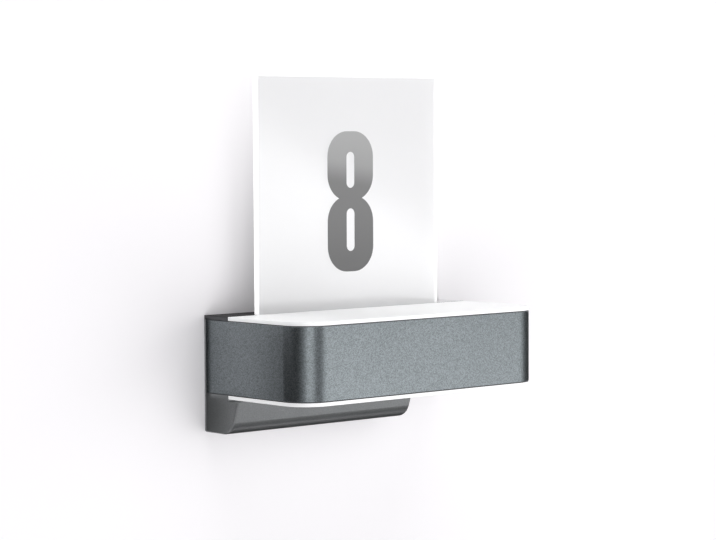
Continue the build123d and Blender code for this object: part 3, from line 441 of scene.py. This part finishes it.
# %% [markdown]
# ## Band: metallic powder coat
#
# The band is bent sheet under an anthracite powder coat with metal flake in it. The flakes are about
# half a millimetre wide and tip a little each way, so the broad front glitters like fine sandpaper. Noise
# alone looks like fog, so Voronoi cells give each flake one shade and a Bump tilts it. Towards the upper
# and lower rim the coat is painted a little paler, a painted highlight where the edges catch the light.

# %% Band coat
FLAKE_SIZE, SPECK_SIZE, DRIFT_SIZE = 0.55, 0.9, 60.0
COAT_DARK, COAT_PALE, RIM_HIGHLIGHT_TONE = (0.092, 0.104, 0.109), (0.312, 0.345, 0.361), (0.3, 0.32, 0.33)
RIM_HIGHLIGHT_WIDTH, RIM_HIGHLIGHT_SHARE = 0.45, 0.35

band_coat = Finish("band_anthracite", {"Metallic": 0.92, "IOR": 1.5})
flake = band_coat.node("ShaderNodeSeparateColor", None, {"Color": band_coat.cells(FLAKE_SIZE)}, "Red")
speck = band_coat.cloud(SPECK_SIZE, detail=3.0)
drift = band_coat.cloud(DRIFT_SIZE, detail=1.0)
shade = 0.55 * flake + 0.35 * speck + 0.1 * drift
# The paler rim is a painted highlight along the band's upper and lower edges.
rim_highlight = band_coat.rise(abs(band_coat.along("Z")), MM * BAND_TOP - RIM_HIGHLIGHT_WIDTH, MM * BAND_TOP)
band_coat.shade(
    {
        "Base Color": band_coat.tint(rim_highlight * RIM_HIGHLIGHT_SHARE, band_coat.tint(shade, COAT_DARK, COAT_PALE), RIM_HIGHLIGHT_TONE),
        "Roughness": 0.3 + 0.12 * speck,
        "Normal": band_coat.relief(0.6 * flake + 0.4 * speck, depth=0.02, strength=0.6),
    }
)
print("band coat nodes:", len(band_coat.tree.nodes))

# %% [markdown]
# ## Casing: moulded plastic
#
# The rear housing, the base and the wall plate are moulded in anthracite plastic with metal powder in it,
# so most of the skin counts as metal. A mould with a spark-eroded skin leaves a fine leathery grain and a
# soft sheen. Three zones differ, and masks by place are simpler there than more materials:
#
# - the cap above the band is darker, and its upper face, the crown, is dull, with painted shade that makes it
#   nearly black
# - right of the panel the crown is polished, so it turns pale at a grazing view
# - pale arcs round the three setting discs are printed on the base's underside

# %% Casing zones
casing = Finish("casing_anthracite", {"Specular IOR Level": 0.5, "IOR": 1.5, "Coat Roughness": 0.03})
across, inward, up = [casing.along(axis) for axis in "XYZ"]
band_level, crown_level = MM * BAND_TOP, MM * CAP_TOP
slot_end = MM * panel_high[0]
cap = casing.rise(up, band_level + 0.1, band_level + 0.3)
crown = casing.rise(up, crown_level - 0.5, crown_level - 0.2)
polish = crown * casing.rise(across, slot_end + 0.4, slot_end + 1.0)
dull = crown - polish
print("cap above:", round(band_level, 2), "crown:", round(crown_level, 2), "polish past:", round(slot_end, 2))

# %% Dial arcs
ADJUSTERS = ("time_adjuster", "dusk_adjuster", "range_adjuster")
DIAL_HALF_TURN = math.radians(135)
DIAL_RADIUS, DIAL_THIN, DIAL_GROWTH = 4.9, 0.2, 0.9
DIAL_DEPTH = 1.2


def dial_arc(adjuster):
    """An arc round one adjuster that widens as its setting grows, open towards the wall."""
    middle = [MM * (low + high) / 2 for low, high in zip(*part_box(adjuster))]
    left, ahead = middle[0] - across, middle[1] - inward
    reach = (left * left + ahead * ahead) ** 0.5
    turn = left.turn_from(ahead) / DIAL_HALF_TURN
    width = DIAL_THIN + DIAL_GROWTH * (0.5 + 0.5 * turn)
    return (abs(turn) < 1.0) * (reach > DIAL_RADIUS) * (reach - width < DIAL_RADIUS)


dial = sum(dial_arc(adjuster) for adjuster in ADJUSTERS) * (up < MM * BASE_FOOT + DIAL_DEPTH)
print("dial arcs:", len(ADJUSTERS))

# %% Casing plastic
PEBBLE_SIZE, MOTTLE_SIZE = 0.9, 35.0
PLASTIC_DARK, PLASTIC_PALE = (0.165, 0.171, 0.176), (0.392, 0.404, 0.411)
# The crown's nearly black colour is painted shade.
CAP_TONE, CROWN_PAINTED_SHADE, DIAL_TONE = (0.105, 0.107, 0.112), (0.012, 0.012, 0.013), grey(0.6)
METAL_POWDER = 0.8

pebble = casing.cloud(PEBBLE_SIZE, detail=3.0)
mottle = casing.cloud(MOTTLE_SIZE)
plastic = casing.tint(0.7 * pebble + 0.3 * mottle, PLASTIC_DARK, PLASTIC_PALE)
top_with_painted_shade = casing.tint(crown, casing.tint(cap, plastic, CAP_TONE), CROWN_PAINTED_SHADE)
casing.shade(
    {
        "Base Color": casing.tint(dial, top_with_painted_shade, DIAL_TONE),
        "Metallic": METAL_POWDER - METAL_POWDER * (dial + dull),
        "Roughness": (0.28 + 0.1 * pebble + 0.12 * cap + 0.3 * dull) * (1 - 0.85 * polish),
        "Coat Weight": polish,
        "Normal": casing.relief(pebble * (1 - polish), depth=0.04, strength=0.6),
    }
)
print("casing nodes:", len(casing.tree.nodes))

# %% [markdown]
# ## Opal plates
#
# The two diffusers are opal acrylic: milk white all through, glossy outside. Light wanders inside such a
# plate before it comes out, which Subsurface gives, and a faint painted glow makes the plates brighter.
# A soft flow from the mould's gate stays in the gloss.

# %% Opal acrylic
FLOW_SIZE, FLOW_STRETCH, HAZE_SIZE = 45.0, (1, 2.5, 1), 0.8
OPAL_COOL, OPAL_WARM = (0.87, 0.875, 0.88), (0.92, 0.92, 0.915)
PAINTED_GLOW_COOL, PAINTED_GLOW_WARM = (0.95, 0.96, 0.97), grey(1.0)
WANDER = Vector((0.004, 0.004, 0.0038))

# The emission is a painted glow that makes the plates brighter.
opal = Finish(
    "opal_acrylic",
    {
        "Subsurface Weight": 0.35,
        "Subsurface Radius": WANDER,
        "Subsurface Scale": 1.0,
        "Specular IOR Level": 0.4,
        "Emission Strength": 0.25,
    },
)
flow = opal.cloud(FLOW_SIZE, stretch=FLOW_STRETCH)
haze = opal.cloud(HAZE_SIZE)
opal.shade(
    {
        "Base Color": opal.tint(flow, OPAL_COOL, OPAL_WARM),
        "Emission Color": opal.tint(flow, PAINTED_GLOW_COOL, PAINTED_GLOW_WARM),
        "Roughness": 0.36 + 0.1 * flow + 0.05 * haze,
        "Normal": opal.relief(haze, depth=0.004, strength=0.3),
    }
)
print("opal nodes:", len(opal.tree.nodes))

# %% [markdown]
# ## Number panel
#
# The panel is satin acrylic. Its faces are frosted, so the wall behind shows only as a soft change of tone,
# and a coat gives them the sheen of the soft boxes. Light that runs inside the sheet leaves it at the cut
# edges, which look bright white. Tracing that takes many bounces, so the edges are painted paler and get a
# painted glow of their own, and the faces a faint painted glow.

# %% Satin acrylic
FACE_TONE, CUT_HIGHLIGHT_TONE = (0.805, 0.805, 0.81), grey(0.95)
FACE_PAINTED_GLOW, CUT_PAINTED_GLOW = grey(0.02), grey(0.6)
CUT_FROM, CUT_FULL = 0.6, 0.2
FROST_SIZE = 0.6

satin = Finish(
    "satin_acrylic",
    {
        "Transmission Weight": 0.5,
        "IOR": 1.49,
        "Specular IOR Level": 0.2,
        "Emission Strength": 1.0,
        "Coat Weight": 1.0,
        "Coat IOR": 1.7,
        "Coat Roughness": 0.1,
    },
)
across, up = satin.along("X"), satin.along("Z")
panel_side, panel_top = MM * panel_high[0], MM * panel_high[2]
# The cut edges are painted paler and glow: painted light for what runs inside the sheet.
glowing_cut_sides = satin.rise(abs(across), panel_side - CUT_FROM, panel_side - CUT_FULL)
glowing_cut = glowing_cut_sides.larger(satin.rise(up, panel_top - CUT_FROM, panel_top - CUT_FULL))
frost = satin.cloud(FROST_SIZE, detail=3.0)
satin.shade(
    {
        "Base Color": satin.tint(glowing_cut, FACE_TONE, CUT_HIGHLIGHT_TONE),
        "Emission Color": satin.tint(glowing_cut, FACE_PAINTED_GLOW, CUT_PAINTED_GLOW),
        "Roughness": 0.42 + 0.1 * frost,
        "Normal": satin.relief(frost, depth=0.004, strength=0.25),
    }
)
print("satin nodes:", len(satin.tree.nodes))

# %% [markdown]
# ## Numeral film
#
# The numeral is cut from a grey self-adhesive film with a satin face. On the real one the upper half mirrors
# something pale and the lower half something dark, with a slanting turn between them. A lamp placed for that
# would change the panel as well, so the fall of tone is painted by height instead.

# %% Number film
numeral_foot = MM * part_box("house_number")[0][2]
LOWER_SPAN, UPPER_SPAN, TURN_SPAN = (-5.9, 66.1), (64.1, 109.1), (61.1, 80.1)
TURN_SLANT = 0.13
LOWER_TONES, UPPER_TONES = (grey(0.172), grey(0.207)), (grey(0.338), grey(0.417))
TOOTH_SIZE, TOOTH_SHARE, TOOTH_TONE = 0.35, 0.12, grey(0.2)

film = Finish("number_film", {"Specular IOR Level": 0.2})
across = film.along("X")
height = film.along("Z") - numeral_foot
tooth = film.cloud(TOOTH_SIZE, detail=3.0)
lower_tone = film.tint(film.rise(height, *LOWER_SPAN), *LOWER_TONES)
upper_tone = film.tint(film.rise(height, *UPPER_SPAN), *UPPER_TONES)
tone = film.tint(film.rise(height + TURN_SLANT * across, *TURN_SPAN), lower_tone, upper_tone)
film.shade(
    {
        "Base Color": film.tint(TOOTH_SHARE * tooth, tone, TOOTH_TONE),
        "Roughness": 0.45 + 0.1 * tooth,
        "Normal": film.relief(tooth, depth=0.004, strength=0.3),
    }
)
print("film nodes:", len(film.tree.nodes))

# %% [markdown]
# ## Seals, screws and castings
#
# The inner pieces show when the head is drawn off or the back is turned to the view. Rubber is dull with a
# talc bloom, screws carry fine marks of their turning, and the chassis is a bare casting with cloudy skin.
# Two noises each, one for the tone and one for the skin, are enough for pieces of this size.

# %% Seal rubber
RUBBER_DARK, RUBBER_BLOOM = (0.012, 0.012, 0.013), (0.035, 0.035, 0.037)
BLOOM_SIZE, RUBBER_GRAIN = 3.0, 0.4

rubber = Finish("seal_rubber", {"Specular IOR Level": 0.35})
bloom = rubber.cloud(BLOOM_SIZE, detail=4.0)
rubber.shade(
    {
        "Base Color": rubber.tint(bloom, RUBBER_DARK, RUBBER_BLOOM),
        "Roughness": 0.6 + 0.2 * bloom,
        "Normal": rubber.relief(rubber.cloud(RUBBER_GRAIN), depth=0.02, strength=0.5),
    }
)
print("rubber nodes:", len(rubber.tree.nodes))

# %% Screw steel
STEEL_DARK, STEEL_PALE = (0.5, 0.5, 0.49), (0.68, 0.68, 0.67)
TURNING_SIZE, TURNING_STRETCH, STAIN_SIZE = 0.25, (1, 6, 1), 4.0

steel = Finish("screw_steel", {"Metallic": 1.0})
turning = steel.cloud(TURNING_SIZE, stretch=TURNING_STRETCH)
stain = steel.cloud(STAIN_SIZE, detail=3.0)
steel.shade(
    {
        "Base Color": steel.tint(stain, STEEL_DARK, STEEL_PALE),
        "Roughness": 0.22 + 0.2 * turning,
        "Normal": steel.relief(turning, depth=0.01, strength=0.4),
    }
)
print("steel nodes:", len(steel.tree.nodes))

# %% Chassis casting
CASTING_DARK, CASTING_PALE = (0.56, 0.57, 0.58), (0.74, 0.75, 0.76)
SKIN_SIZE, GRIT_SIZE = 9.0, 0.5

casting = Finish("chassis_aluminium", {"Metallic": 0.95})
skin = casting.cloud(SKIN_SIZE, detail=4.0)
grit = casting.cloud(GRIT_SIZE)
casting.shade(
    {
        "Base Color": casting.tint(skin, CASTING_DARK, CASTING_PALE),
        "Roughness": 0.38 + 0.2 * skin,
        "Normal": casting.relief(grit, depth=0.03, strength=0.6),
    }
)
print("casting nodes:", len(casting.tree.nodes))

# %% [markdown]
# ## Boards, wires and small parts
#
# Circuit boards are resin sheets under solder resist, with copper that shows as a raised net of another
# tone. Drawn tracks would need a picture, so repeated lines, kept in patches, stand for them. The other
# small parts are plain mouldings and sheet, so a shared recipe with its own tone and grain serves them all.

# %% Boards
TRACK_STEPS, TRACK_HALVES = (3.1, 4.3), (0.28, 0.3)
PATCH_SIZE, PATCH_REACH = 7.0, 0.4
WEAVE_SIZE, WEAVE_DARK = 1.2, 0.85


def board_finish(name, resist, copper, stands):
    """Solder resist over copper tracks, on a board that stands upright or lies level."""
    board = Finish(name, {"Specular IOR Level": 0.5})
    columns = board.along("X").repeat(TRACK_STEPS[0]) < TRACK_HALVES[0]
    rows = board.along("Z" if stands else "Y").repeat(TRACK_STEPS[1]) < TRACK_HALVES[1]
    tracks = columns.larger(rows) * (board.cells(PATCH_SIZE, "Distance") < PATCH_REACH)
    weave = board.cloud(WEAVE_SIZE)
    sheet = board.tint(weave, resist, tuple(WEAVE_DARK * part for part in resist))
    board.shade(
        {
            "Base Color": board.tint(tracks, sheet, copper),
            "Roughness": 0.34 + 0.12 * weave,
            "Normal": board.relief(tracks, depth=0.03, strength=0.7),
        }
    )


board_finish("board_green", resist=(0.03, 0.17, 0.075), copper=(0.05, 0.27, 0.12), stands=True)
board_finish("board_white", resist=(0.86, 0.86, 0.84), copper=(0.78, 0.78, 0.76), stands=False)
print("boards:", [name for name in finishes if name.startswith("board")])

# %% Small mouldings
BROAD_SIZE = 8.0


def small_part(name, dark, pale, roughness, metallic=0.0, grain=0.4, depth=0.02):
    part = Finish(name, {"Metallic": metallic})
    fine = part.cloud(grain)
    broad = part.cloud(BROAD_SIZE)
    part.shade(
        {
            "Base Color": part.tint(0.5 * fine + 0.5 * broad, dark, pale),
            "Roughness": roughness + 0.15 * fine,
            "Normal": part.relief(fine, depth, strength=0.5),
        }
    )


SHEET = {"metallic": 1.0, "depth": 0.01}
small_part("part_black", (0.02, 0.02, 0.021), (0.045, 0.045, 0.047), roughness=0.4)
small_part("part_grey", (0.52, 0.52, 0.5), (0.68, 0.68, 0.66), roughness=0.35)
small_part("can_metal", (0.48, 0.48, 0.46), (0.64, 0.64, 0.62), roughness=0.25, grain=1.5, **SHEET)
small_part("contact_brass", (0.62, 0.46, 0.2), (0.78, 0.62, 0.32), roughness=0.2, grain=1.0, **SHEET)
small_part("wire_brown", (0.14, 0.06, 0.03), (0.24, 0.11, 0.06), roughness=0.35)
small_part("ribbon_grey", (0.3, 0.3, 0.32), (0.46, 0.46, 0.48), roughness=0.4)
small_part("knob_plastic", (0.075, 0.075, 0.08), (0.14, 0.14, 0.145), roughness=0.38)
small_part("led_phosphor", (0.86, 0.72, 0.26), (0.95, 0.86, 0.45), roughness=0.3)
small_part("lens_clear", (0.7, 0.7, 0.67), (0.82, 0.82, 0.79), roughness=0.15, grain=1.0, depth=0.004)
print("finishes:", len(finishes))

# %% [markdown]
# ## Dress the light
#
# The record of the part says which finish each piece takes, so the pieces are dressed from it. The clear
# panel and its numeral throw no shadow, because the card behind the panel's foot does that for them.

# %% Dress the pieces
for piece in frame["record"]["subparts"]:
    node = light[piece["node"]]
    node.data.materials.clear()
    node.data.materials.append(finishes[piece["material_slot"]].material)
for clear_piece in ("number_panel", "house_number"):
    light[clear_piece].visible_shadow = light[clear_piece].visible_diffuse = False

# %% [markdown]
